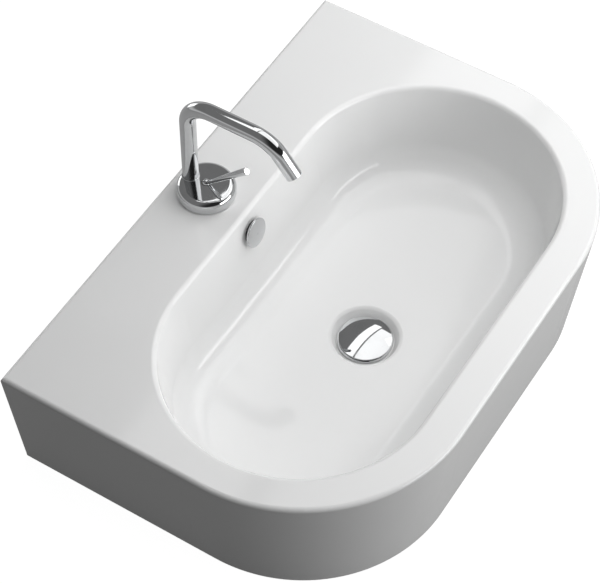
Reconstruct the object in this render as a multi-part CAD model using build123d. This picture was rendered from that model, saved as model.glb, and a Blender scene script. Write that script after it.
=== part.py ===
from build123d import *
import math
import os

# Countertop basin in glazed ceramic, with a joystick mixer tap, a push-to-open waste and an overflow.
# Millimetres. X runs along the wall, +Y points to the wall, +Z is up.
# The origin lies on the counter, under the middle of the basin.

# Basin outline
basin_width = 650.0            # over the sharp edges, before they are rounded
basin_depth = 444.0
basin_height = 174.0
corner_radius = 195.0          # the two round front corners
side_lean = 21.0               # how far each side leans in by the time it meets the counter
front_lean = 17.5
outer_edge_radius = 4.5        # rounding where deck and apron meet
lip_radius = 6.0               # rounding where deck and bowl meet
foot_edge_radius = 1.5
wall_thickness = 12.0          # apron walls
deck_thickness = 12.0

# Bowl
rim_side = 39.5                # deck between the bowl and each side
rim_front = 43.0
rim_rear = 98.0                # the ledge that carries the tap
bowl_depth = 120.0             # at the edge of the waste recess
bowl_draft = 10.0              # degrees that the bowl's walls lean from upright
floor_fall = 1.5               # degrees that the floor falls to the waste
bowl_fillet = 42.0             # round between wall and floor
shell_thickness = 11.0         # ceramic of the bowl

# Waste place and ceramic round it
waste_forward = 3.5            # waste centre, in front of the bowl's centre
waste_play = 1.55              # round the waste's tail in the ceramic
recess_depth = 9.0
recess_lean = 6.0              # how much wider the recess is at its mouth
recess_edge_radius = 5.0
boss_height = 22.0             # below the flange's seat
boss_wall = 14.0

# Waste fitting
flange_radius = 32.0
flange_thickness = 3.2
flange_lip = 0.8               # flat top of the flange's rim
flange_bevel = 1.2
flange_dish = 2.0              # fall of the flange inside its rim
tail_mouth = 2.3               # how much wider the tail is where the dish meets it
flange_gap = 1.0               # between the flange and the recess
seal_thickness = 0.8
thread_radius = 20.95          # one and a quarter inch pipe thread, over its crests
waste_wall = 1.75
thread_relief_width = 1.0      # groove over the bare thread that the trap screws on
thread_relief_depth = 0.5
slot_below_floor = 12.5        # top of the overflow slots, under the bowl's floor
tail_below_nut = 10.0          # bare thread under the backnut
slot_count = 4
slot_width = 12.0
slot_height = 8.0
lower_seal_height = 3.0
lower_seal_width = 9.0
lower_washer_thickness = 1.0
backnut_height = 7.0
backnut_wall = 7.0
backnut_lugs = 6
backnut_lug = 5.0
thread_clearance = 0.15        # between a nut or ring and the thread it runs on
hub_radius = 9.0
hub_height = 10.0
hub_above_tail = 20.0          # from the tail's lower end
spoke_count = 3
spoke_width = 4.0
spoke_height = 5.0
spoke_root = 1.5               # how far a spoke runs into the hub
latch_radius = 6.4
latch_above_hub = 5.0
latch_below_hub = 6.0
latch_clearance = 0.1
latch_collar = 1.5
latch_spare = 1.0              # room under the push rod
plug_inset = 1.6               # of the plug's edge from the flange's edge
plug_crown = 4.2               # how far the plug's dome rises over its edge
plug_rim = 1.3
plug_lift = 8.0                # travel of the plug
plug_seat_gap = 0.3
push_rod_radius = 4.0
rod_guide = 6.7                # rod still in the latch with the plug up
rod_thread_clearance = 0.1
plug_boss_wall = 2.3
plug_boss_height = 5.0
plug_seal_width = 3.4
plug_seal_inset = 0.5          # of the plug's seal from the tail's mouth

# Overflow
overflow_below_deck = 30.0
overflow_bore_radius = 11.0
channel_width = 38.0
channel_gap = 10.0
channel_wall = 7.0
channel_step = 1.0             # extra ceramic between bowl and channel
channel_head = 4.0             # channel above the overflow's bore
overflow_cap_radius = 17.5
overflow_cap_thickness = 2.0
overflow_cap_crown = 1.0       # how far its face bulges
overflow_cap_round = 0.6
overflow_cap_gap = 5.0         # between the cap and the bowl's wall
sleeve_clearance = 0.2
sleeve_wall = 1.2
sleeve_length = 13.0
sleeve_flange_radius = 13.5
sleeve_flange_thickness = 1.0
overflow_seal_thickness = 0.8
leg_count = 3
leg_width = 4.0
leg_thickness = 1.4
leg_reach = 9.0                # how far the cap's legs go into the sleeve
leg_clearance = 0.25

# Wall fixing holes
wall_hole_radius = 7.0
wall_hole_spacing = 280.0
wall_hole_height = 112.0

# Tap place
tap_to_bowl = 53.5             # tap centre to the bowl's rear edge
tap_hole_play = 1.0            # round the shank in the ceramic

# Tap base: a chromed cover over a brass body
cover_radius = 33.5
cover_height = 17.6            # at the top of the crown
cover_shoulder = 4.5
cover_foot_radius = 2.5
crown_radius = 165.0           # the top is a very flat dome
cover_wall = 1.6
lever_hole_play = 0.4          # round the lever's ball
gasket_thickness = 1.0
gasket_width = 7.0
body_gap = 0.5                 # between cover and body
crown_over_body = 5.0          # crown's top to the body's top
body_chamfer = 3.0
shank_radius = 16.5            # M33 thread, over its crests
shank_length = 54.0
shank_wall = 3.75              # between the thread and the cartridge's pocket
pocket_depth = 20.0            # of the cartridge below the deck's top
inlet_radius = 5.0             # M10 hose threads
inlet_depth = 12.0
inlet_spacing = 13.2
port_spacing = 8.8
water_way_radius = 1.8
water_way_rise = 0.1           # how far the water way's top cuts into the socket

# Fastening under the deck
washer_width = 5.0
washer_clearance = 0.3
rubber_washer_thickness = 3.0
steel_washer_thickness = 2.0
shank_nut_wall = 4.5           # at the flats
shank_nut_height = 8.0

# Cartridge
cartridge_clearance = 0.1
cartridge_wall = 1.45
cartridge_foot_seal = 1.0
foot_seal_section = 1.2
disc_thickness = 2.8
disc_clearance = 0.15          # discs and carrier in the cartridge's bore
driver_inset = 1.0             # of the driver's edge from the moving disc's
driver_height = 3.5
driver_cover = 1.0             # driver above the middle of the spindle's ball end
carrier_flange = 2.3
carrier_neck_radius = 7.0
cartridge_nut_height = 2.2
running_clearance = 0.05
port_radius = 2.0

# Lever
lever_angle = 45.0             # above the level, at rest
lever_lift = 25.0              # how far the lever lifts
lever_length = 77.0            # from the pivot
lever_tip_radius = 4.5
lever_root_radius = 2.3
lever_tip_round = 0.8
lever_socket_start = 1.0       # rod's root, from the pivot
lever_taper_start = 5.5
ball_radius = 5.0
pivot_below_crown = 1.4        # pivot under the crown's top
spindle_radius = 1.8
spindle_reach = 9.5            # pivot to the middle of the spindle's ball end
spindle_ball_radius = 2.0
spindle_play = 0.15
piece_gap = 0.3                # between pieces that pass without touching

# Spout
spout_behind = 20.5            # spout axis behind the tap's axis
spout_rise = 138.5             # level arm above the deck
spout_reach = 106.0            # spout axis to the corner of the nose
nose_angle = 53.0              # below the level
nose_length = 48.0
tube_radius = 9.25
tube_wall = 1.0
upright_bend = 32.0
nose_bend = 41.0
collar_radius = 10.4
collar_over_crown = 0.8
collar_round = 0.6
collar_gap = 0.2
spigot_radius = 6.0
spigot_bore_radius = 3.6
spigot_play = 1.0              # round the spigot in cover and collar
socket_depth = 7.5             # of the spout's socket in the body
spigot_in_tube = 12.0
ring_section = 1.0
ring_squeeze = 0.05
ring_count = 2
ring_pitch = 2.4
snap_ring_height = 1.0
snap_ring_grip = 0.8
snap_ring_rise = 0.9           # above the bottom of the socket
snap_ring_play = 0.1
snap_ring_split = 5.0
aerator_length = 8.0
aerator_inset = 0.6
aerator_ring = 1.2
grille_hole_radius = 0.75
grille_pitch = 2.6
grille_thickness = 1.5
grille_rows = 2

# Places and sizes worked out from the values above
rear_y = basin_depth / 2
deck_z = basin_height
under_deck_z = deck_z - deck_thickness
bowl_length = basin_width - 2 * rim_side
bowl_width = basin_depth - rim_rear - rim_front
bowl_y = rear_y - rim_rear - bowl_width / 2
waste_y = bowl_y - waste_forward
waste_bore_radius = thread_radius + waste_play
floor_z = deck_z - bowl_depth
seat_z = floor_z - recess_depth
boss_bottom_z = seat_z - boss_height
flange_under_z = seat_z + seal_thickness
flange_top_z = flange_under_z + flange_thickness
dish_rim = flange_radius - flange_bevel - flange_lip
tail_bore = thread_radius - waste_wall
dish_radius = tail_bore + tail_mouth
lower_seal_low_z = boss_bottom_z - lower_seal_height
backnut_top_z = lower_seal_low_z - lower_washer_thickness
backnut_low_z = backnut_top_z - backnut_height
backnut_radius = thread_radius + thread_clearance + backnut_wall
tail_low_z = backnut_low_z - tail_below_nut
hub_low_z = tail_low_z + hub_above_tail
hub_top_z = hub_low_z + hub_height
latch_top_z = hub_top_z + latch_above_hub
plug_low_z = flange_top_z + plug_seat_gap
plug_radius = flange_radius - plug_inset
plug_seal_inner = dish_radius + plug_seal_inset
plug_seal_outer = plug_seal_inner + plug_seal_width
rod_low_z = latch_top_z - rod_guide - plug_lift
tap_y = rear_y - rim_rear + tap_to_bowl
tap_hole_radius = shank_radius + tap_hole_play
spout_y = tap_y + spout_behind
crown_z = deck_z + cover_height
lever_hole_radius = ball_radius + lever_hole_play
body_radius = cover_radius - cover_wall - body_gap
body_low_z = deck_z + gasket_thickness
body_top_z = crown_z - crown_over_body
shank_low_z = deck_z - shank_length
pocket_radius = shank_radius - shank_wall
pocket_low_z = deck_z - pocket_depth
cartridge_radius = pocket_radius - cartridge_clearance
cartridge_bore_radius = cartridge_radius - cartridge_wall
cartridge_low_z = pocket_low_z + cartridge_foot_seal
nut_low_z = body_top_z - cartridge_nut_height
pivot_z = crown_z - pivot_below_crown
spindle_end_z = pivot_z - spindle_reach
disc_travel = spindle_reach * math.sin(math.radians(lever_lift))
moving_disc_radius = cartridge_bore_radius - disc_clearance - disc_travel
driver_top_z = spindle_end_z + driver_cover
driver_low_z = driver_top_z - driver_height
fixed_disc_top_z = driver_low_z - disc_thickness
carrier_low_z = driver_top_z + disc_clearance
carrier_top_z = carrier_low_z + carrier_flange
collar_top_z = crown_z + collar_over_crown
tube_foot_z = collar_top_z + collar_gap
tube_bore_radius = tube_radius - tube_wall
socket_low_z = body_top_z - socket_depth
water_way_z = socket_low_z - water_way_radius + water_way_rise
snap_groove_low_z = socket_low_z + snap_ring_rise - snap_ring_play
snap_groove_top_z = snap_groove_low_z + snap_ring_height + 2 * snap_ring_play


def ring(outer, inner, low, high, x=0.0, y=0.0):
    """A plain ring or sleeve standing on Z."""
    return Pos(x, y, low) * extrude(Circle(outer) - Circle(inner), high - low)


def rod(radius, low, high, x=0.0, y=0.0):
    """A plain round bar standing on Z."""
    return Pos(x, y, low) * extrude(Circle(radius), high - low)


def turned(points, y=0.0):
    """A solid turned about an upright axis, from (radius, height) points."""
    profile = Plane.XZ * make_face(Polyline(*points, close=True))
    return Pos(0, y, 0) * revolve(profile, Axis.Z)


def across(radius, y_from, y_to, x, z):
    """A round bar lying along Y."""
    return Pos(x, y_from, z) * Rot(-90, 0, 0) * extrude(Circle(radius), y_to - y_from)


def domed(radius, low, top, dome):
    """A round block from low up to a spherical top of the given dome radius."""
    edge = top - dome + math.sqrt(dome**2 - radius**2)
    middle = top - dome + math.sqrt(dome**2 - radius**2 / 4)
    outline = [
        Line((0, low), (radius, low)),
        Line((radius, low), (radius, edge)),
        ThreePointArc((radius, edge), (radius / 2, middle), (0, top)),
        Line((0, top), (0, low)),
    ]
    return revolve(Plane.XZ * make_face(outline), Axis.Z)


def level_circles(solid):
    """The circles that lie level, from the lowest to the highest."""
    circles = solid.edges().filter_by(GeomType.CIRCLE)
    return circles.filter_by(lambda edge: edge.bounding_box().size.Z < 0.001).sort_by(Axis.Z)


# The ceramic


def basin_outline(width, depth, radius, z, rear):
    """The plan of the basin: square rear corners and two big front arcs."""
    half = width / 2
    front = rear - depth
    edges = [
        Line((-half, rear), (half, rear)),
        Line((half, rear), (half, front + radius)),
        CenterArc((half - radius, front + radius), radius, 0, -90),
        Line((half - radius, front), (-half + radius, front)),
        CenterArc((-half + radius, front + radius), radius, -90, -90),
        Line((-half, front + radius), (-half, rear)),
    ]
    return Pos(0, 0, z) * make_face(edges)


def basin_block(inset, low, high):
    """The leaning block between two levels, drawn in by inset from the outside.

    It is drawn deeper than it has to be and sawn off flat at the wall.
    """
    spare = corner_radius
    sections = []
    for z in (low, high):
        down = (deck_z - z) / basin_height
        width = basin_width - 2 * (side_lean * down + inset)
        depth = basin_depth - front_lean * down - 2 * inset + spare
        radius = corner_radius - front_lean * down - inset
        sections.append(basin_outline(width, depth, radius, z, rear_y - inset + spare))
    saw = Pos(0, rear_y - inset - basin_depth, (low + high) / 2)
    return loft(sections, ruled=True) & saw * Box(2 * basin_width, 2 * basin_depth, high - low)


def bowl_form(grow):
    """The bowl's hollow, made larger all round by grow."""
    depth = bowl_depth + grow + bowl_fillet
    lean = depth * math.tan(math.radians(bowl_draft))
    length = bowl_length + 2 * grow
    width = bowl_width + 2 * grow
    top = Pos(0, bowl_y, deck_z) * SlotOverall(length, width)
    low = Pos(0, bowl_y, deck_z - depth) * SlotOverall(length - 2 * lean, width - 2 * lean)
    walls = loft([low, top], ruled=True)
    bottom = floor_z - grow
    edge = bottom + bowl_length * math.tan(math.radians(floor_fall))
    above = deck_z + bowl_depth
    dish = turned([(0, bottom), (bowl_length, edge), (bowl_length, above), (0, above)], waste_y)
    form = walls & dish
    corner = [e for e in form.edges() if e.bounding_box().max.Z < deck_z - bowl_depth / 2]
    return fillet(corner, bowl_fillet + grow)


def overflow_plane():
    """The plane of the overflow: on the bowl's rear wall, facing into the bowl."""
    lean = math.radians(bowl_draft)
    wall_y = rear_y - rim_rear - overflow_below_deck * math.tan(lean)
    return Plane(
        origin=(0, wall_y, deck_z - overflow_below_deck),
        x_dir=(1, 0, 0),
        z_dir=(0, -math.cos(lean), math.sin(lean)),
    )


def channel_form(inner, outer, width, top):
    """A flat duct behind and under the bowl, from the overflow to the waste."""
    duct = bowl_form(outer) - bowl_form(inner)
    length = rear_y - waste_y
    slab = Pos(0, waste_y + length / 2, top / 2) * Box(width, length, top)
    return duct & slab


def make_block():
    """The outside of the basin with its rims rounded."""
    block = basin_block(0, 0, deck_z)
    block = fillet(block.edges().group_by(Axis.Z)[-1], outer_edge_radius)
    return fillet(block.edges().group_by(Axis.Z)[0], foot_edge_radius)


def make_hollow():
    """The space under the deck and round the bowl, open to the counter."""
    hollow = basin_block(wall_thickness, -foot_edge_radius, under_deck_z)
    hollow -= bowl_form(shell_thickness)
    hollow -= rod(waste_bore_radius + boss_wall, boss_bottom_z, deck_z, 0, waste_y)
    casing = shell_thickness + channel_gap + channel_wall
    return hollow - channel_form(shell_thickness / 2, casing, channel_width + 2 * channel_wall, deck_z)


def make_recess():
    """The seat that the waste's flange lies in, widening upwards."""
    seat_radius = flange_radius + flange_gap
    above = floor_z + recess_depth
    mouth = seat_radius + recess_lean * (above - seat_z) / recess_depth
    return turned([(0, seat_z), (seat_radius, seat_z), (mouth, above), (0, above)], waste_y)


def in_bowl(edge):
    """True for an edge of the bowl's lip."""
    middle = edge @ 0.5
    return abs(middle.X) < bowl_length / 2 + 1 and abs(middle.Y - bowl_y) < bowl_width / 2 + 1


def in_recess_mouth(edge):
    """True for the rim of the waste recess."""
    box = edge.bounding_box()
    seat_width = 2 * (flange_radius + flange_gap)
    return seat_width < box.size.X < seat_width + 4 * recess_lean and box.min.Z > floor_z


def make_basin():
    basin = make_block() - make_hollow() - bowl_form(0)
    basin = fillet([e for e in basin.edges().group_by(Axis.Z)[-1] if in_bowl(e)], lip_radius)
    basin -= make_recess()
    basin = fillet([e for e in basin.edges() if in_recess_mouth(e)], recess_edge_radius)
    basin -= rod(waste_bore_radius, 0, deck_z, 0, waste_y)
    basin -= rod(tap_hole_radius, under_deck_z - 1, deck_z + 1, 0, tap_y)
    reach = shell_thickness + channel_gap / 2
    basin -= overflow_plane() * Pos(0, 0, -reach) * extrude(Circle(overflow_bore_radius), 2 * reach)
    top = deck_z - overflow_below_deck + overflow_bore_radius + channel_head
    near = shell_thickness + channel_step
    basin -= channel_form(near, shell_thickness + channel_gap, channel_width, top)
    for side in (-1, 1):
        x = side * wall_hole_spacing / 2
        basin -= across(wall_hole_radius, rear_y - wall_thickness - 1, rear_y + 1, x, wall_hole_height)
    return basin


# The waste


def make_waste_body():
    """Flange, threaded tail with overflow slots, and the bridge that holds the latch."""
    profile = [
        (tail_bore, tail_low_z),
        (thread_radius, tail_low_z),
        (thread_radius, flange_under_z),
        (flange_radius, flange_under_z),
        (flange_radius, flange_top_z - flange_bevel),
        (flange_radius - flange_bevel, flange_top_z),
        (dish_rim, flange_top_z),
        (dish_radius, flange_top_z - flange_dish),
        (tail_bore, flange_top_z - flange_dish - (dish_radius - tail_bore)),
    ]
    body = turned(profile)
    slot_z = floor_z - slot_below_floor - slot_height / 2
    for turn in range(slot_count):
        slot = Pos(thread_radius, 0, slot_z) * Box(4 * waste_wall, slot_width, slot_height)
        body -= Rot(0, 0, 360 * (turn + 0.5) / slot_count) * slot
    relief = thread_radius - thread_relief_depth
    body -= ring(thread_radius + 1, relief, backnut_low_z, backnut_low_z + thread_relief_width)
    body += rod(hub_radius, hub_low_z, hub_top_z)
    start = hub_radius - spoke_root
    stop = tail_bore + waste_wall / 2
    for turn in range(spoke_count):
        middle = Pos((start + stop) / 2, 0, hub_low_z + spoke_height / 2)
        spoke = middle * Box(stop - start, spoke_width, spoke_height)
        body += Rot(0, 0, 360 * turn / spoke_count + 90) * spoke
    body -= rod(latch_radius + latch_clearance, tail_low_z, hub_top_z + 1)
    return Pos(0, waste_y, 0) * body


def make_latch():
    """The push-push latch: a closed barrel that guides the push rod."""
    barrel = rod(latch_radius, hub_low_z - latch_below_hub, latch_top_z)
    barrel += rod(hub_radius, hub_top_z, hub_top_z + latch_collar)
    barrel -= rod(push_rod_radius + running_clearance, rod_low_z - latch_spare, latch_top_z + 1)
    return Pos(0, waste_y, 0) * barrel


def make_plug():
    """The domed plug with the boss that screws onto the push rod."""
    top = plug_low_z + plug_rim + plug_crown
    dome = (plug_radius**2 + plug_crown**2) / (2 * plug_crown)
    cap = domed(plug_radius, plug_low_z, top, dome)
    cap = fillet(level_circles(cap)[-1], plug_rim / 3)
    bore = push_rod_radius + rod_thread_clearance
    cap += rod(bore + plug_boss_wall, plug_low_z - plug_boss_height, plug_low_z)
    cap -= rod(bore, plug_low_z - plug_boss_height - 1, plug_low_z)
    return Pos(0, waste_y, 0) * cap


def dish_height(radius):
    """Height of the flange's dish at a radius."""
    return flange_top_z - flange_dish * (dish_rim - radius) / (dish_rim - dish_radius)


def make_backnut():
    """The round nut under the ceramic, with lugs for a spanner."""
    nut = rod(backnut_radius, backnut_low_z, backnut_top_z)
    middle_z = (backnut_low_z + backnut_top_z) / 2
    for turn in range(backnut_lugs):
        lug = Pos(backnut_radius, 0, middle_z) * Box(backnut_lug, backnut_lug, backnut_height)
        nut += Rot(0, 0, 360 * turn / backnut_lugs) * lug
    nut -= rod(thread_radius + thread_clearance, backnut_low_z - 1, backnut_top_z + 1)
    return Pos(0, waste_y, 0) * nut


def make_waste():
    bore = thread_radius + thread_clearance
    seal_radius = bore + lower_seal_width
    seal_mouth = waste_bore_radius + boss_wall / 2
    seal_points = [
        (bore, lower_seal_low_z),
        (seal_radius, lower_seal_low_z),
        (seal_mouth, boss_bottom_z),
        (bore, boss_bottom_z),
    ]
    seal_z = dish_height(plug_seal_outer) + plug_seat_gap
    return {
        "waste_body": make_waste_body(),
        "waste_top_seal": ring(flange_radius - 1, bore, seat_z, flange_under_z, 0, waste_y),
        "waste_lower_seal": turned(seal_points, waste_y),
        "waste_washer": ring(seal_radius, bore, backnut_top_z, lower_seal_low_z, 0, waste_y),
        "waste_backnut": make_backnut(),
        "waste_latch": make_latch(),
        "plug_cap": make_plug(),
        "plug_seal": ring(plug_seal_outer, plug_seal_inner, seal_z, plug_low_z, 0, waste_y),
        "plug_push_rod": rod(push_rod_radius, rod_low_z, plug_low_z - piece_gap, 0, waste_y),
    }


# The overflow


def make_overflow():
    """A sleeve through the bowl's wall and a cap that stands clear of it on legs."""
    place = overflow_plane()
    outer = overflow_bore_radius - sleeve_clearance
    inner = outer - sleeve_wall
    flange_low = overflow_seal_thickness
    flange_high = flange_low + sleeve_flange_thickness
    sleeve = ring(outer, inner, -sleeve_length, flange_low)
    sleeve += ring(sleeve_flange_radius, inner, flange_low, flange_high)
    seal = ring(sleeve_flange_radius - 1, overflow_bore_radius, 0, flange_low)
    top = overflow_cap_gap + overflow_cap_thickness + overflow_cap_crown
    dome = (overflow_cap_radius**2 + overflow_cap_crown**2) / (2 * overflow_cap_crown)
    cap = domed(overflow_cap_radius, overflow_cap_gap, top, dome)
    cap = fillet(level_circles(cap)[-1], overflow_cap_round)
    leg_length = overflow_cap_gap + leg_reach
    leg_radius = inner - leg_clearance - leg_thickness / 2
    leg = Box(leg_thickness, leg_width, leg_length)
    leg = Pos(leg_radius, 0, overflow_cap_gap - leg_length / 2) * leg
    for turn in range(leg_count):
        cap += Rot(0, 0, 360 * turn / leg_count + 90) * leg
    return {
        "overflow_sleeve": place * sleeve,
        "overflow_seal": place * seal,
        "overflow_cap": place * cap,
    }


# The tap's fixed pieces


def make_cover():
    """The chromed cover: a low drum with a very flat dome for a top."""
    cover = domed(cover_radius, deck_z, crown_z, crown_radius)
    cover = fillet(level_circles(cover)[-1], cover_shoulder)
    cover = fillet(level_circles(cover)[0], cover_foot_radius)
    inner_radius = cover_radius - cover_wall
    inner = domed(inner_radius, deck_z - 1, crown_z - cover_wall, crown_radius - cover_wall)
    inner = fillet(level_circles(inner)[-1], cover_shoulder - cover_wall)
    cover -= inner
    cover -= rod(lever_hole_radius, deck_z, crown_z + 1)
    cover -= rod(spigot_radius + spigot_play, deck_z, crown_z + 1, 0, spout_behind)
    return Pos(0, tap_y, 0) * cover


def make_tap_body():
    """The brass body: a disc under the cover, and the threaded shank that holds the cartridge."""
    body = rod(body_radius, body_low_z, body_top_z)
    body = chamfer(level_circles(body)[-1], body_chamfer)
    body += rod(shank_radius, shank_low_z, body_low_z)
    body -= rod(pocket_radius, pocket_low_z, body_top_z + 1)
    body -= rod(spigot_radius + running_clearance, socket_low_z, body_top_z + 1, 0, spout_behind)
    groove_radius = spigot_radius + snap_ring_grip + snap_ring_play
    body -= rod(groove_radius, snap_groove_low_z, snap_groove_top_z, 0, spout_behind)
    body -= across(water_way_radius, 0, spout_behind, 0, water_way_z)
    for side in (-1, 1):
        body -= rod(inlet_radius, shank_low_z - 1, shank_low_z + inlet_depth, side * inlet_spacing / 2)
        body -= rod(port_radius, shank_low_z, pocket_low_z + 1, side * port_spacing / 2)
    return Pos(0, tap_y, 0) * body


def make_collar():
    """The ring at the spout's foot, cut to the cover's dome."""
    inner = spigot_radius + spigot_play
    collar = ring(collar_radius, inner, deck_z + cover_height / 2, collar_top_z, 0, spout_behind)
    collar = fillet(level_circles(collar)[-2:], collar_round)
    crown = domed(cover_radius, deck_z, crown_z, crown_radius)
    collar -= fillet(level_circles(crown)[-1], cover_shoulder)
    return Pos(0, tap_y, 0) * collar


def make_shank_nut():
    """The hexagon nut that pulls the tap down on the deck."""
    low = under_deck_z - rubber_washer_thickness - steel_washer_thickness - shank_nut_height
    hexagon = RegularPolygon(shank_radius + shank_nut_wall, 6, major_radius=False)
    nut = extrude(hexagon - Circle(shank_radius + thread_clearance), shank_nut_height)
    return Pos(0, tap_y, low) * nut


def make_tap_fixings():
    bore = shank_radius + washer_clearance
    outer = bore + washer_width
    rubber_low = under_deck_z - rubber_washer_thickness
    steel_low = rubber_low - steel_washer_thickness
    return {
        "tap_cover": make_cover(),
        "tap_body": make_tap_body(),
        "tap_gasket": ring(body_radius, body_radius - gasket_width, deck_z, body_low_z, 0, tap_y),
        "spout_collar": make_collar(),
        "shank_rubber_washer": ring(outer, bore, rubber_low, under_deck_z, 0, tap_y),
        "shank_steel_washer": ring(outer, bore, steel_low, rubber_low, 0, tap_y),
        "shank_nut": make_shank_nut(),
    }


# The cartridge


def make_cartridge_body():
    """The cup that holds the discs, with its inlets below and its outlet at the side."""
    floor = fixed_disc_top_z - disc_thickness
    body = rod(cartridge_radius, cartridge_low_z, nut_low_z - cartridge_clearance)
    body -= rod(cartridge_bore_radius, floor, nut_low_z)
    for side in (-1, 1):
        body -= rod(port_radius, cartridge_low_z - 1, floor + 1, side * port_spacing / 2)
    return body - across(water_way_radius, 0, pocket_radius, 0, water_way_z)


def make_fixed_disc():
    low = fixed_disc_top_z - disc_thickness
    disc = rod(cartridge_bore_radius - disc_clearance, low, fixed_disc_top_z)
    for side in (-1, 1):
        disc -= rod(port_radius, low - 1, fixed_disc_top_z + 1, side * port_spacing / 2)
    return disc


def make_carrier():
    """The part that turns with the lever: it guides the spindle in a slot."""
    lift = math.radians(lever_lift)
    half = spindle_ball_radius + spindle_play
    swing = (pivot_z - carrier_low_z) * math.tan(lift) + half / math.cos(lift)
    neck_top = pivot_z - ball_radius - piece_gap
    carrier = rod(cartridge_bore_radius - disc_clearance, carrier_low_z, carrier_top_z)
    carrier += rod(carrier_neck_radius, carrier_low_z, neck_top)
    slot = Box(2 * half, swing + half, 2 * (neck_top - carrier_low_z))
    return carrier - Pos(0, (half - swing) / 2, neck_top) * slot


def make_driver():
    """The piece on the moving disc that the spindle's ball end pushes."""
    hole = spindle_ball_radius + spindle_play
    hole_low = spindle_end_z - spindle_ball_radius - 2 * spindle_play
    driver = rod(moving_disc_radius - driver_inset, driver_low_z, driver_top_z)
    return driver - rod(hole, hole_low, driver_top_z + 1)


def make_cartridge():
    seals = []
    for side in (-1, 1):
        x = side * port_spacing / 2
        outer = port_radius + foot_seal_section
        seals.append(ring(outer, port_radius, pocket_low_z, cartridge_low_z, x, tap_y))
    nut_inner = carrier_neck_radius + disc_clearance
    moving_low = driver_low_z - disc_thickness
    return {
        "cartridge_body": Pos(0, tap_y, 0) * make_cartridge_body(),
        "cartridge_seals": Compound(seals),
        "cartridge_nut": ring(cartridge_radius, nut_inner, nut_low_z, body_top_z, 0, tap_y),
        "fixed_disc": Pos(0, tap_y, 0) * make_fixed_disc(),
        "moving_disc": rod(moving_disc_radius, moving_low, driver_low_z, 0, tap_y),
        "disc_driver": Pos(0, tap_y, 0) * make_driver(),
        "cartridge_carrier": Pos(0, tap_y, 0) * make_carrier(),
    }


# The lever


def make_lever():
    angle = math.radians(lever_angle)
    aim = Plane(
        origin=(0, tap_y, pivot_z),
        x_dir=(1, 0, 0),
        z_dir=(0, -math.cos(angle), math.sin(angle)),
    )
    hub = Pos(0, tap_y, pivot_z) * Sphere(ball_radius)
    hub += rod(spindle_radius, spindle_end_z, pivot_z, 0, tap_y)
    hub += Pos(0, tap_y, spindle_end_z) * Sphere(spindle_ball_radius)
    hub -= aim * rod(lever_root_radius + running_clearance, lever_socket_start, 2 * ball_radius)
    stick = turned(
        [
            (0, lever_socket_start + piece_gap),
            (lever_root_radius, lever_socket_start + piece_gap),
            (lever_root_radius, lever_taper_start),
            (lever_tip_radius, lever_length),
            (0, lever_length),
        ]
    )
    stick = fillet(level_circles(stick)[-1], lever_tip_round)
    return {"lever_hub": hub, "lever_rod": aim * stick}


# The spout


def spout_path():
    """The tube's centre line: upright, level, then down to the nose."""
    angle = math.radians(nose_angle)
    arm_z = deck_z + spout_rise
    nose_y = spout_y - spout_reach
    tip = (0, nose_y - nose_length * math.cos(angle), arm_z - nose_length * math.sin(angle))
    points = [(0, spout_y, tube_foot_z), (0, spout_y, arm_z), (0, nose_y, arm_z), tip]
    return FilletPolyline(*points, radius=[upright_bend, nose_bend])


def make_spigot():
    """The turned foot of the spout: it turns in the body on two rings."""
    low = socket_low_z + piece_gap
    spigot = rod(spigot_radius, low, tube_foot_z)
    top = tube_foot_z + spigot_in_tube
    spigot += rod(tube_bore_radius - running_clearance, tube_foot_z, top)
    for place in range(ring_count):
        middle = spout_ring_z(place)
        half = ring_section / 2 + ring_squeeze
        spigot -= ring(spigot_radius + 1, spigot_radius - ring_section, middle - half, middle + half)
    groove_radius = spigot_radius - snap_ring_grip
    spigot -= ring(spigot_radius + 1, groove_radius, snap_groove_low_z, snap_groove_top_z)
    spigot -= rod(spigot_bore_radius, low - 1, top + 1)
    return Pos(0, spout_y, 0) * spigot


def spout_ring_z(place):
    """Height of the middle of a spout ring, counted from the top."""
    return body_top_z - ring_pitch * (place + 1) + ring_section


def make_snap_ring():
    """The split ring that keeps the spout in its socket."""
    low = socket_low_z + snap_ring_rise
    inner = spigot_radius - snap_ring_grip + ring_squeeze
    whole = ring(spigot_radius + snap_ring_grip, inner, low, low + snap_ring_height)
    gap = Pos(0, spigot_radius, low) * Box(snap_ring_split, spigot_radius, 4 * snap_ring_height)
    return Pos(0, spout_y, 0) * (whole - gap)


def make_grille(radius):
    """The aerator's face, with its holes in rings round the middle."""
    grille = rod(radius, 0, grille_thickness)
    grille -= rod(grille_hole_radius, -1, grille_thickness + 1)
    for row in range(1, grille_rows + 1):
        for turn in range(6 * row):
            hole = Pos(row * grille_pitch, 0, 0) * rod(grille_hole_radius, -1, grille_thickness + 1)
            grille -= Rot(0, 0, 60 * turn / row) * hole
    return grille


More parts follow.
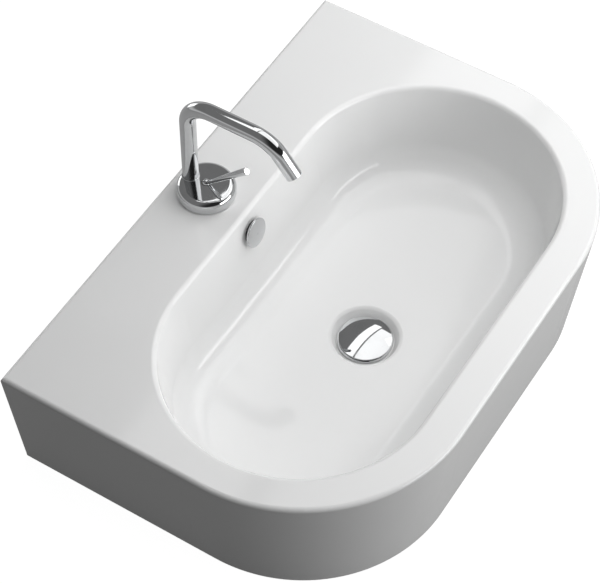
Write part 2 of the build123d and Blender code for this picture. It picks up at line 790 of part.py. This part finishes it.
def make_spout():
    path = spout_path()
    section = Circle(tube_radius) - Circle(tube_bore_radius)
    tube = sweep(Plane(origin=path @ 0, x_dir=(1, 0, 0), z_dir=path % 0) * section, path)
    nose = Plane(origin=path @ 1, x_dir=(1, 0, 0), z_dir=path % 1)
    aerator_radius = tube_bore_radius - running_clearance
    inner = aerator_radius - aerator_ring
    housing = ring(aerator_radius, inner, -aerator_inset - aerator_length, -aerator_inset)
    grille = Pos(0, 0, -aerator_inset - 2 * grille_thickness) * make_grille(inner - running_clearance)
    rings = []
    for place in range(ring_count):
        middle = spout_ring_z(place)
        inner_ring = spigot_radius - ring_section + ring_squeeze
        half = ring_section / 2
        rings.append(ring(spigot_radius, inner_ring, middle - half, middle + half, 0, spout_y))
    return {
        "spout_tube": tube,
        "spout_spigot": make_spigot(),
        "spout_rings": Compound(rings),
        "spout_snap_ring": make_snap_ring(),
        "aerator_housing": nose * housing,
        "aerator_grille": nose * grille,
    }


parts = {"basin_body": make_basin()}
for group in (make_waste, make_overflow, make_tap_fixings, make_cartridge, make_lever, make_spout):
    parts.update(group())

os.makedirs("parts", exist_ok=True)
for name, solid in parts.items():
    export_step(solid, f"parts/{name}.step")
print(len(parts), "parts, disc travel", round(disc_travel, 4), "mm")
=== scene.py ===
# %% [markdown]
# # A countertop basin with its tap, waste and overflow
#
# The solids of this object were drawn as real parts first, each in its own named node.
# Here they get their camera, their finishes and their light, and one of them, the cover
# of the tap, is modelled again with a softer shoulder. Loading the frame gives every node
# at its true place in metres, so no piece has to be placed by eye.

import math

import bpy
from mathutils import Matrix, Vector


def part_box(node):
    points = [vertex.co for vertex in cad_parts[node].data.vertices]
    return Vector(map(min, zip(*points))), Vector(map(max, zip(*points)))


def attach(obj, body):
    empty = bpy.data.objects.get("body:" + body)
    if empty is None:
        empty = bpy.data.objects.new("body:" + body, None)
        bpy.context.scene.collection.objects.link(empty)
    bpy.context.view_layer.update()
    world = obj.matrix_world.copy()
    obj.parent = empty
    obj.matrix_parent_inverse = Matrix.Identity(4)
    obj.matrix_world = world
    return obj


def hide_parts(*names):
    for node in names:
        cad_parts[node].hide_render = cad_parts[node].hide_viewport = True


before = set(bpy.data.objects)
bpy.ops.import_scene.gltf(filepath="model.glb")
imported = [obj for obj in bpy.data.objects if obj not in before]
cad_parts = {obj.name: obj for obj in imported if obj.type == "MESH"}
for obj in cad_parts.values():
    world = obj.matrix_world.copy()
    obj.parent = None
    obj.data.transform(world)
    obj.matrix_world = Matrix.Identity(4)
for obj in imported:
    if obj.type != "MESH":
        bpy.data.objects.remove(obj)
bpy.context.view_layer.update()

# %% [markdown]
# ## The camera
#
# The photograph looks down on the basin from its front left corner with a long lens, a
# little rolled, so that the long rear edge runs up the picture. A camera could be aimed
# with a constraint, but that can't give the roll. Its place and its three directions were
# fitted to the basin's edges, the bowl's outline and the tap instead. The directions are
# the columns of its rotation, two of them reversed, because a camera's own Y points up
# and it looks along its own minus Z.

# %% Place the camera
picture_width = 600
sensor_width = 36.0
lens_in_pixels = 2248.98
eye = Vector((-1.29863, -0.74681, 2.09950))
right = Vector((0.52754, -0.84953, 0.00177))
down = Vector((-0.67767, -0.42207, -0.60218))
ahead = Vector((0.51231, 0.31647, -0.79836))

camera_data = bpy.data.cameras.new("camera")
camera_data.sensor_width = sensor_width
camera_data.lens = lens_in_pixels / picture_width * sensor_width
camera_data.clip_start = 0.05
camera_data.clip_end = 60.0
camera = bpy.data.objects.new("camera", camera_data)
bpy.context.scene.collection.objects.link(camera)
bpy.context.scene.camera = camera
bpy.context.scene.view_settings.view_transform = "Standard"
turn = Matrix((right, -down, -ahead)).transposed()
camera.matrix_world = Matrix.Translation(eye) @ turn.to_4x4()
print("lens:", round(camera_data.lens, 2), "mm")

# %% [markdown]
# ## Shader sums written as sums
#
# A finish is a small sum: so much long wave, so much fine grain, less of it at an edge.
# Wiring Math nodes one by one hides that sum, so one small class wraps a socket and lets
# Python's own signs add the nodes.

# %% A wire that can be added and multiplied
class Wire:
    """The output of a node, which sums and products can be written with."""

    def __init__(self, tree, socket=None):
        self.tree = tree
        self.socket = socket

    def add(self, kind, settings, sockets, output=0):
        """A new node in the same tree, as the wire of one of its outputs."""
        node = self.tree.nodes.new(kind)
        for name, value in settings.items():
            setattr(node, name, value)
        for key, value in sockets.items():
            if isinstance(value, Wire):
                self.tree.links.new(value.socket, node.inputs[key])
            else:
                node.inputs[key].default_value = value
        return Wire(self.tree, node.outputs[output] if node.outputs else None)

    def other(self, output):
        """Another output of the same node."""
        return Wire(self.tree, self.socket.node.outputs[output])

    def maths(self, operation, *values):
        return self.add("ShaderNodeMath", {"operation": operation}, dict(enumerate(values)))

    def __add__(self, other):
        return self.maths("ADD", self, other)

    def __radd__(self, other):
        return self.maths("ADD", other, self)

    def __sub__(self, other):
        return self.maths("SUBTRACT", self, other)

    def __rsub__(self, other):
        return self.maths("SUBTRACT", other, self)

    def __mul__(self, other):
        return self.maths("MULTIPLY", self, other)

    def __rmul__(self, other):
        return self.maths("MULTIPLY", other, self)


def new_finish(name):
    """An empty material and the bare wire that its nodes are added from."""
    material = bpy.data.materials.new(name)
    material.use_nodes = True
    material.node_tree.nodes.clear()
    return material, Wire(material.node_tree)


def place_of(sheet):
    """The point on the piece, in metres."""
    return sheet.add("ShaderNodeTexCoord", {}, {}, "Object")


def noise(sheet, place, per_metre, detail=2.0, rough=0.5):
    """Smooth noise from 0 to 1, with that many waves in a metre."""
    sockets = {"Vector": place, "Scale": per_metre, "Detail": detail, "Roughness": rough}
    return sheet.add("ShaderNodeTexNoise", {}, sockets)


def stretched(sheet, place, scale):
    """The same point with its three lengths multiplied."""
    return sheet.add("ShaderNodeVectorMath", {"operation": "MULTIPLY"}, {0: place, 1: scale})


def band(sheet, value, low, high):
    """0 below low, 1 above high, and smooth between them."""
    sockets = {"Value": value, "From Min": low, "From Max": high}
    return sheet.add("ShaderNodeMapRange", {"interpolation_type": "SMOOTHSTEP"}, sockets)


def blend(sheet, share, first, second):
    """The first colour where share is 0 and the second where it is 1."""
    settings = {"data_type": "RGBA"}
    return sheet.add("ShaderNodeMix", settings, {"Factor": share, 6: first, 7: second}, 2)


def relief(sheet, height):
    """The normal of a surface that has this height in metres."""
    return sheet.add("ShaderNodeBump", {}, {"Strength": 1.0, "Distance": 1.0, "Height": height})


def close_finish(material, sheet, sockets):
    """The shader of the finish, with these values and wires."""
    shader = sheet.add("ShaderNodeBsdfPrincipled", {}, sockets)
    sheet.add("ShaderNodeOutputMaterial", {}, {"Surface": shader})
    print("finish:", material.name)
    return material


def grey(level):
    return (level, level, level, 1.0)


# %% [markdown]
# ## The glaze
#
# Vitreous china is a white clay under about half a millimetre of glass. The glass evens
# itself out in the kiln but never quite: its surface keeps long shallow waves, and a very
# fine orange peel, and both show only in what it mirrors. The foot is ground flat after
# firing and the face against the wall is left bare, so both are dull and a little warm.
# The glaze begins within a millimetre or so of each, at heights and depths in metres.

# %% Make the glaze
foot_edge = (0.0008, 0.0016)
wall_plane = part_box("basin_body")[1].y
wall_edge = (wall_plane - 0.0006, wall_plane - 0.0001)


def make_glaze():
    material, sheet = new_finish("glaze_over_clay")
    place = place_of(sheet)
    height = sheet.add("ShaderNodeSeparateXYZ", {}, {"Vector": place}, "Z")
    depth = height.other("Y")
    foot = 1.0 - band(sheet, height, *foot_edge)
    wall_face = band(sheet, depth, *wall_edge)
    bare = sheet.maths("MAXIMUM", foot, wall_face)
    cloud = noise(sheet, place, 9.0, 2.0)
    clay_grain = noise(sheet, place, 2600.0, 4.0, 0.7)
    white = blend(sheet, cloud, (0.832, 0.836, 0.836, 1.0), (0.848, 0.850, 0.848, 1.0))
    clay = blend(sheet, clay_grain, (0.70, 0.665, 0.61, 1.0), (0.80, 0.775, 0.73, 1.0))
    waves = noise(sheet, place, 11.0, 1.0) * 0.00016
    peel = noise(sheet, place, 420.0, 1.0) * 0.0000012
    grit = clay_grain * 0.00005
    surface = (waves + peel) * (1.0 - bare) + grit * bare
    gloss = 0.075 + cloud * 0.03
    return close_finish(material, sheet, {
        "Base Color": blend(sheet, bare, white, clay),
        "Roughness": gloss * (1.0 - bare) + bare * 0.8,
        "Normal": relief(sheet, surface),
        "IOR": 1.52,
    })


glaze = make_glaze()

# %% [markdown]
# ## Chrome plate
#
# Chrome is a thin bright plate over polished brass. It is almost a mirror, slightly blue
# and only about two thirds as bright as what it mirrors. Polishing leaves faint swirls,
# and the plate has a very shallow waviness that bends what it mirrors on the long tubes.

# %% Make the chrome
def make_chrome():
    material, sheet = new_finish("chrome_plate")
    place = place_of(sheet)
    smear = noise(sheet, place, 60.0, 3.0)
    swirl = noise(sheet, stretched(sheet, place, (900.0, 2200.0, 700.0)), 1.0, 2.0, 0.6)
    film = band(sheet, smear, 0.45, 0.75)
    tint = blend(sheet, film, (0.655, 0.662, 0.670, 1.0), (0.620, 0.626, 0.632, 1.0))
    waves = noise(sheet, place, 70.0, 1.0) * 0.000012
    polish = swirl * 0.00000025
    return close_finish(material, sheet, {
        "Base Color": tint,
        "Metallic": 1.0,
        "Roughness": 0.035 + film * 0.035 + swirl * 0.015,
        "Normal": relief(sheet, waves + polish),
    })


chrome = make_chrome()

# %% [markdown]
# ## Brass, steel, rubber and plastics
#
# These sit under the deck, inside the tap and the end of the spout, or behind the plug
# and the overflow's cap. Turned brass has fine rings from the tool and darkens in patches.
# A pressed steel washer is brushed in one direction. Rubber is matt with a bloom of dust.
# Moulded plastic has an even, fine spark texture. The overflow's sleeve, a white moulding,
# is painted near black instead: painted shade, so that the gap behind the cap looks dark.
# The discs of the cartridge are lapped until they are almost mirrors.

# %% Make the brass
def make_brass():
    material, sheet = new_finish("turned_brass")
    place = place_of(sheet)
    rings = noise(sheet, stretched(sheet, place, (40.0, 40.0, 9000.0)), 1.0, 2.0, 0.5)
    patch = band(sheet, noise(sheet, place, 130.0, 4.0, 0.6), 0.42, 0.68)
    bright = blend(sheet, rings, (0.68, 0.50, 0.24, 1.0), (0.76, 0.58, 0.29, 1.0))
    return close_finish(material, sheet, {
        "Base Color": blend(sheet, patch, bright, (0.50, 0.35, 0.16, 1.0)),
        "Metallic": 1.0,
        "Roughness": 0.22 + patch * 0.16 + rings * 0.06,
        "Normal": relief(sheet, rings * 0.0000025),
    })


brass = make_brass()

# %% Make the steel
def make_steel():
    material, sheet = new_finish("brushed_steel")
    place = place_of(sheet)
    brush = noise(sheet, stretched(sheet, place, (60.0, 3500.0, 3500.0)), 1.0, 2.0, 0.6)
    return close_finish(material, sheet, {
        "Base Color": blend(sheet, brush, (0.50, 0.51, 0.52, 1.0), (0.62, 0.63, 0.64, 1.0)),
        "Metallic": 1.0,
        "Roughness": 0.26 + brush * 0.12,
        "Normal": relief(sheet, brush * 0.000003),
    })


steel = make_steel()

# %% Make the rubber
def make_rubber():
    material, sheet = new_finish("black_rubber")
    place = place_of(sheet)
    grain = noise(sheet, place, 3000.0, 2.0)
    bloom = band(sheet, noise(sheet, place, 90.0, 3.0), 0.4, 0.7)
    black = blend(sheet, bloom, (0.018, 0.018, 0.018, 1.0), (0.040, 0.039, 0.037, 1.0))
    return close_finish(material, sheet, {
        "Base Color": black,
        "Roughness": 0.52 + bloom * 0.16,
        "Normal": relief(sheet, grain * 0.00001),
    })


rubber = make_rubber()

# %% Make the moulded plastics
def make_plastic(name, dark, light, gloss):
    material, sheet = new_finish(name)
    place = place_of(sheet)
    spark = noise(sheet, place, 2400.0, 2.0, 0.6)
    flow = noise(sheet, place, 45.0, 2.0)
    return close_finish(material, sheet, {
        "Base Color": blend(sheet, flow, dark, light),
        "Roughness": gloss + spark * 0.12,
        "Normal": relief(sheet, spark * 0.000004),
    })


white_plastic = make_plastic(
    "white_moulding", (0.76, 0.76, 0.74, 1.0), (0.80, 0.80, 0.785, 1.0), 0.22)
grey_plastic = make_plastic(
    "grey_moulding", (0.17, 0.175, 0.18, 1.0), (0.21, 0.215, 0.22, 1.0), 0.38)
# A near-black moulding used as painted shade on the overflow's sleeve, whose own plastic is
# white.
painted_shade_plastic = make_plastic("painted_shade_moulding", grey(0.012), grey(0.02), 0.35)

# %% Make the lapped discs
def make_disc_ceramic():
    material, sheet = new_finish("lapped_ceramic")
    place = place_of(sheet)
    speck = band(sheet, noise(sheet, place, 5000.0, 1.0), 0.55, 0.75)
    lap = noise(sheet, stretched(sheet, place, (2500.0, 2500.0, 50.0)), 1.0, 1.0)
    return close_finish(material, sheet, {
        "Base Color": blend(sheet, speck, (0.80, 0.785, 0.74, 1.0), (0.68, 0.66, 0.61, 1.0)),
        "Roughness": 0.12 + lap * 0.06,
        "Normal": relief(sheet, lap * 0.0000006),
    })


disc_ceramic = make_disc_ceramic()

# %% Put each finish on the nodes that have it
finishes = {
    glaze: ["basin_body"],
    chrome: ["waste_body", "plug_cap", "overflow_cap", "tap_cover", "spout_collar", "lever_hub",
             "lever_rod", "spout_tube"],
    brass: ["waste_backnut", "plug_push_rod", "tap_body", "shank_nut", "cartridge_nut",
            "spout_spigot"],
    steel: ["shank_steel_washer", "spout_snap_ring"],
    rubber: ["waste_top_seal", "waste_lower_seal", "plug_seal", "overflow_seal", "tap_gasket",
             "shank_rubber_washer", "cartridge_seals", "spout_rings"],
    white_plastic: ["waste_washer"],
    # The overflow's sleeve gets the near-black painted shade, so the gap behind the cap looks
    # dark.
    painted_shade_plastic: ["overflow_sleeve"],
    grey_plastic: ["waste_latch", "cartridge_body", "cartridge_carrier", "disc_driver",
                   "aerator_housing", "aerator_grille"],
    disc_ceramic: ["fixed_disc", "moving_disc"],
}
for finish, names in finishes.items():
    for name in names:
        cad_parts[name].data.materials.clear()
        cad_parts[name].data.materials.append(finish)
finished = {name for names in finishes.values() for name in names}
print("without a finish:", sorted(set(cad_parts) - finished))

# %% [markdown]
# ## The tap's cover
#
# The cover is drawn from sheet brass and plated. Its top is a very flat dome, and it
# turns down to the side over a broad, soft shoulder, which is what catches the light. The
# solid's shoulder is narrower, so a new piece of the same width and height replaces it. A
# drum is the right start: its two rims are bevelled, and its flat top is inset ring by
# ring while each ring is lifted onto the dome. The last inset is a little short, so that
# a small face is left in the middle. Two holes are then cut for the spout and the lever.

# %% Pick faces and edges by where they are
def start_clean():
    """Nothing selected and object mode, so an operator acts on the new piece alone."""
    if bpy.context.object and bpy.context.object.mode != "OBJECT":
        bpy.ops.object.mode_set(mode="OBJECT")
    bpy.ops.object.select_all(action="DESELECT")


def pick_edges(piece, wanted):
    """Selects the edges whose two ends are both wanted, and leaves the piece in edit mode."""
    bpy.ops.object.mode_set(mode="EDIT")
    bpy.ops.mesh.select_mode(type="EDGE")
    bpy.ops.mesh.select_all(action="DESELECT")
    bpy.ops.object.mode_set(mode="OBJECT")
    corners = piece.data.vertices
    for edge in piece.data.edges:
        edge.select = all(wanted(corners[i].co) for i in edge.vertices)
    bpy.ops.object.mode_set(mode="EDIT")


def pick_faces(piece, wanted):
    """Selects the faces that are wanted, and leaves the piece in edit mode."""
    bpy.ops.object.mode_set(mode="EDIT")
    bpy.ops.mesh.select_mode(type="FACE")
    bpy.ops.mesh.select_all(action="DESELECT")
    bpy.ops.object.mode_set(mode="OBJECT")
    for face in piece.data.polygons:
        face.select = wanted(face)
    bpy.ops.object.mode_set(mode="EDIT")


def settle(piece, name, finish, body, node):
    """Puts the place in the mesh, names the piece, hangs it on its body and hides the node it
    replaces.
    """
    bpy.ops.object.mode_set(mode="OBJECT")
    bpy.ops.object.transform_apply(location=True, rotation=True, scale=True)
    piece.name = name
    piece.data.materials.clear()
    piece.data.materials.append(finish)
    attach(piece, body)
    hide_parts(node)
    print("piece:", name, "faces", len(piece.data.polygons))


# %% Raise the drum and its dome
cover_low, cover_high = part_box("tap_cover")
cover_radius = (cover_high.x - cover_low.x) / 2
cover_y = (cover_low.y + cover_high.y) / 2
cover_sides = 144
dome_radius = 0.42
dome_rings = 16
last_inset = 0.98
shoulder = 0.0078
foot_round = 0.0025
flat_radius = cover_radius - shoulder
ring_width = flat_radius / dome_rings
drum_top = cover_high.z - (dome_radius - math.sqrt(dome_radius ** 2 - flat_radius ** 2))
hair = 1e-5


def flat_end(face, up):
    """Whether a face is the flat top of the drum, with up as 1, or its bottom, as -1."""
    return face.normal.z * up > 0.999 and len(face.vertices) == cover_sides


start_clean()
bpy.ops.mesh.primitive_cylinder_add(
    vertices=cover_sides, radius=cover_radius, depth=drum_top - cover_low.z,
    location=(0.0, cover_y, (drum_top + cover_low.z) / 2))
cover = bpy.context.object
bpy.ops.object.transform_apply(location=True)
pick_edges(cover, lambda p: p.z > drum_top - hair)
bpy.ops.mesh.bevel(offset=shoulder, segments=14)
pick_edges(cover, lambda p: p.z < cover_low.z + hair)
bpy.ops.mesh.bevel(offset=foot_round, segments=6)
pick_faces(cover, lambda f: flat_end(f, 1))
for ring in range(dome_rings):
    outer = flat_radius * (1 - ring / dome_rings)
    inner = outer - ring_width
    lift = math.sqrt(dome_radius ** 2 - inner ** 2) - math.sqrt(dome_radius ** 2 - outer ** 2)
    share = 1 if ring < dome_rings - 1 else last_inset
    bpy.ops.mesh.inset(thickness=ring_width * share)
    bpy.ops.transform.translate(value=(0.0, 0.0, lift))
pick_faces(cover, lambda f: flat_end(f, -1))
bpy.ops.mesh.delete(type="FACE")
bpy.ops.object.mode_set(mode="OBJECT")
print("cover: radius", round(cover_radius, 5), "drum top", round(drum_top, 5))

# %% Give the cover its wall and its two holes
sheet_thickness = 0.0010
spout_hole_radius = 0.0088
lever_hole_radius = 0.0054
drill_length = 0.03
smooth_below = math.radians(38)

wall = cover.modifiers.new("wall", "SOLIDIFY")
wall.thickness = sheet_thickness
wall.offset = -1.0
bpy.ops.object.modifier_apply(modifier="wall")


def middle_of(node):
    """The middle of a node's box."""
    low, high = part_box(node)
    return (low + high) / 2


def cut_hole(piece, place, radius):
    """Cuts a round hole straight down through the top of the cover."""
    start_clean()
    bpy.ops.mesh.primitive_cylinder_add(
        vertices=64, radius=radius, depth=drill_length, location=(place.x, place.y, cover_high.z))
    drill = bpy.context.object
    start_clean()
    bpy.context.view_layer.objects.active = piece
    piece.select_set(True)
    cut = piece.modifiers.new("hole", "BOOLEAN")
    cut.operation = "DIFFERENCE"
    cut.object = drill
    bpy.ops.object.modifier_apply(modifier="hole")
    bpy.data.objects.remove(drill)


cut_hole(cover, middle_of("spout_collar"), spout_hole_radius)
cut_hole(cover, middle_of("lever_hub"), lever_hole_radius)
bpy.ops.object.shade_smooth_by_angle(angle=smooth_below)
settle(cover, "tap_cover_plated", chrome, "basin", "tap_cover")

# %% [markdown]
# ## The floor and the room
#
# The photograph was cut out on white. The floor is a plain pale sheet that glows almost
# white to the camera and keeps a very faint shadow. Light that has bounced off something
# matt meets it as a darker sheet, because the real basin stood on something darker, and a
# white floor would light its sides too much. The chrome and the glaze mirror a darker
# floor and room than the camera sees, bright only low down. A white room all round would
# be plainer, but then they would lose the dark parts that the photograph shows in them.
# From below the sheet is clear, so that the underside can be seen.

# %% Make the floor
floor_side = 24.0
floor_drop = 0.0004
floor_seen = 0.97
floor_mirrored = 0.3
sheet_dark = 0.135
sheet_light = 0.145


def make_floor_finish():
    material, sheet = new_finish("pale_sheet")
    camera_ray = sheet.add("ShaderNodeLightPath", {}, {}, "Is Camera Ray")
    seen = sheet.maths("MAXIMUM", camera_ray, camera_ray.other("Is Transmission Ray"))
    mirrored = camera_ray.other("Is Glossy Ray")
    strength = sheet.maths("MAXIMUM", mirrored * floor_mirrored, seen * floor_seen)
    mottle = noise(sheet, place_of(sheet), 30.0, 3.0)
    shade = blend(sheet, mottle, grey(sheet_dark), grey(sheet_light))
    dull = sheet.add("ShaderNodeBsdfDiffuse", {}, {"Color": shade})
    glow = sheet.add("ShaderNodeEmission", {}, {"Color": grey(1.0), "Strength": strength})
    lit = sheet.add("ShaderNodeAddShader", {}, {0: dull, 1: glow})
    behind = sheet.add("ShaderNodeNewGeometry", {}, {}, "Backfacing")
    clear = sheet.add("ShaderNodeBsdfTransparent", {}, {})
    both = sheet.add("ShaderNodeMixShader", {}, {0: behind, 1: lit, 2: clear})
    sheet.add("ShaderNodeOutputMaterial", {}, {"Surface": both})
    return material


start_clean()
bpy.ops.mesh.primitive_plane_add(size=floor_side, location=(0.0, 0.0, -floor_drop))
floor = bpy.context.object
floor.name = "floor"
floor.data.materials.append(make_floor_finish())
print("floor:", tuple(round(v, 2) for v in floor.dimensions))

# %% Make the room
ceiling_front = 0.025
ceiling_rear = 0.2
low_glow = 0.6
dim = 0.06

room = bpy.data.worlds.new("studio_room")
bpy.context.scene.world = room
room.use_nodes = True
room.node_tree.nodes.clear()
walls = Wire(room.node_tree)
camera_ray = walls.add("ShaderNodeLightPath", {}, {}, "Is Camera Ray")
mirrored = camera_ray.other("Is Glossy Ray")
seen = walls.maths("MAXIMUM", camera_ray, camera_ray.other("Is Transmission Ray"))
direction = walls.add("ShaderNodeTexCoord", {}, {}, "Generated")
rise = walls.add("ShaderNodeSeparateXYZ", {}, {"Vector": direction}, "Z")
toward_rear = band(walls, rise.other("Y"), -0.45, 0.10)
low_wall = 1.0 - band(walls, rise, 0.10, 0.34)
ceiling = ceiling_front + toward_rear * (ceiling_rear - ceiling_front)
in_gloss = ceiling + low_wall * (low_glow - ceiling)
lighting = mirrored * in_gloss + (1.0 - mirrored) * dim
strength = seen + (1.0 - seen) * lighting
sky = walls.add("ShaderNodeBackground", {}, {"Color": grey(1.0), "Strength": strength})
walls.add("ShaderNodeOutputWorld", {}, {"Surface": sky})
print("room:", room.name)

# %% [markdown]
# ## The light
#
# The bright right rim and the dark left side say that most of the light came from the
# right and from the front. Three softboxes hang there, a weak one at the left front and
# one overhead soften the shade, and one behind lights the rear. Lamps could be spheres,
# but a softbox is a flat square, and its straight edges are what chrome shows. All are
# hidden from the camera, and three from gloss too, so that they light the ceramic without
# being mirrored in it. Their brightnesses were set against the photograph.

# %% Hang the lamps
def hang_lamp(name, place, aim, size, glow, in_gloss=True):
    """A flat softbox, with glow as its own brightness, mirrored only where in_gloss is true."""
    data = bpy.data.lights.new(name, "AREA")
    data.shape = "RECTANGLE"
    data.size, data.size_y = size
    data.energy = glow * size[0] * size[1] * math.pi
    lamp = bpy.data.objects.new(name, data)
    bpy.context.scene.collection.objects.link(lamp)
    lamp.location = place
    lamp.visible_camera = False
    lamp.visible_glossy = in_gloss
    lamp.rotation_mode = "QUATERNION"
    lamp.rotation_quaternion = (Vector(aim) - Vector(place)).to_track_quat("-Z", "Y")
    print("lamp:", name, "power", round(data.energy, 2))


middle = (0.0, 0.0, 0.1)
below_overhead = (-0.12, -0.16, 0.0)
hang_lamp("right_high", (1.30, -0.85, 1.22), middle, (1.4, 1.2), 0.35)
hang_lamp("right_far", (1.90, -0.20, 1.00), middle, (0.9, 0.9), 4.0, in_gloss=False)
hang_lamp("front_wide", (0.36, -1.74, 0.62), middle, (1.6, 0.8), 4.0)
hang_lamp("left_front", (-0.90, -0.70, 1.70), middle, (0.9, 0.9), 0.9, in_gloss=False)
hang_lamp("overhead", (-0.12, -0.16, 1.95), below_overhead, (1.2, 1.3), 1.95, in_gloss=False)
hang_lamp("rear_fill", (0.49, 1.83, 0.43), middle, (0.8, 0.8), 1.6)

# %% [markdown]
# ## The two panels that show in the glaze
#
# The glaze of the deck and the rim mirrors something pale overhead. Two level panels hang
# above the right side for that, one long and narrow and one broad.

# %% Hang the two panels
hang_lamp("band", (0.66, 0.325, 1.0), (0.66, 0.325, 0.0), (1.32, 0.20), 1.5)
hang_lamp("panel", (0.60, -0.25, 1.0), (0.60, -0.25, 0.0), (1.2, 0.88), 1.28)
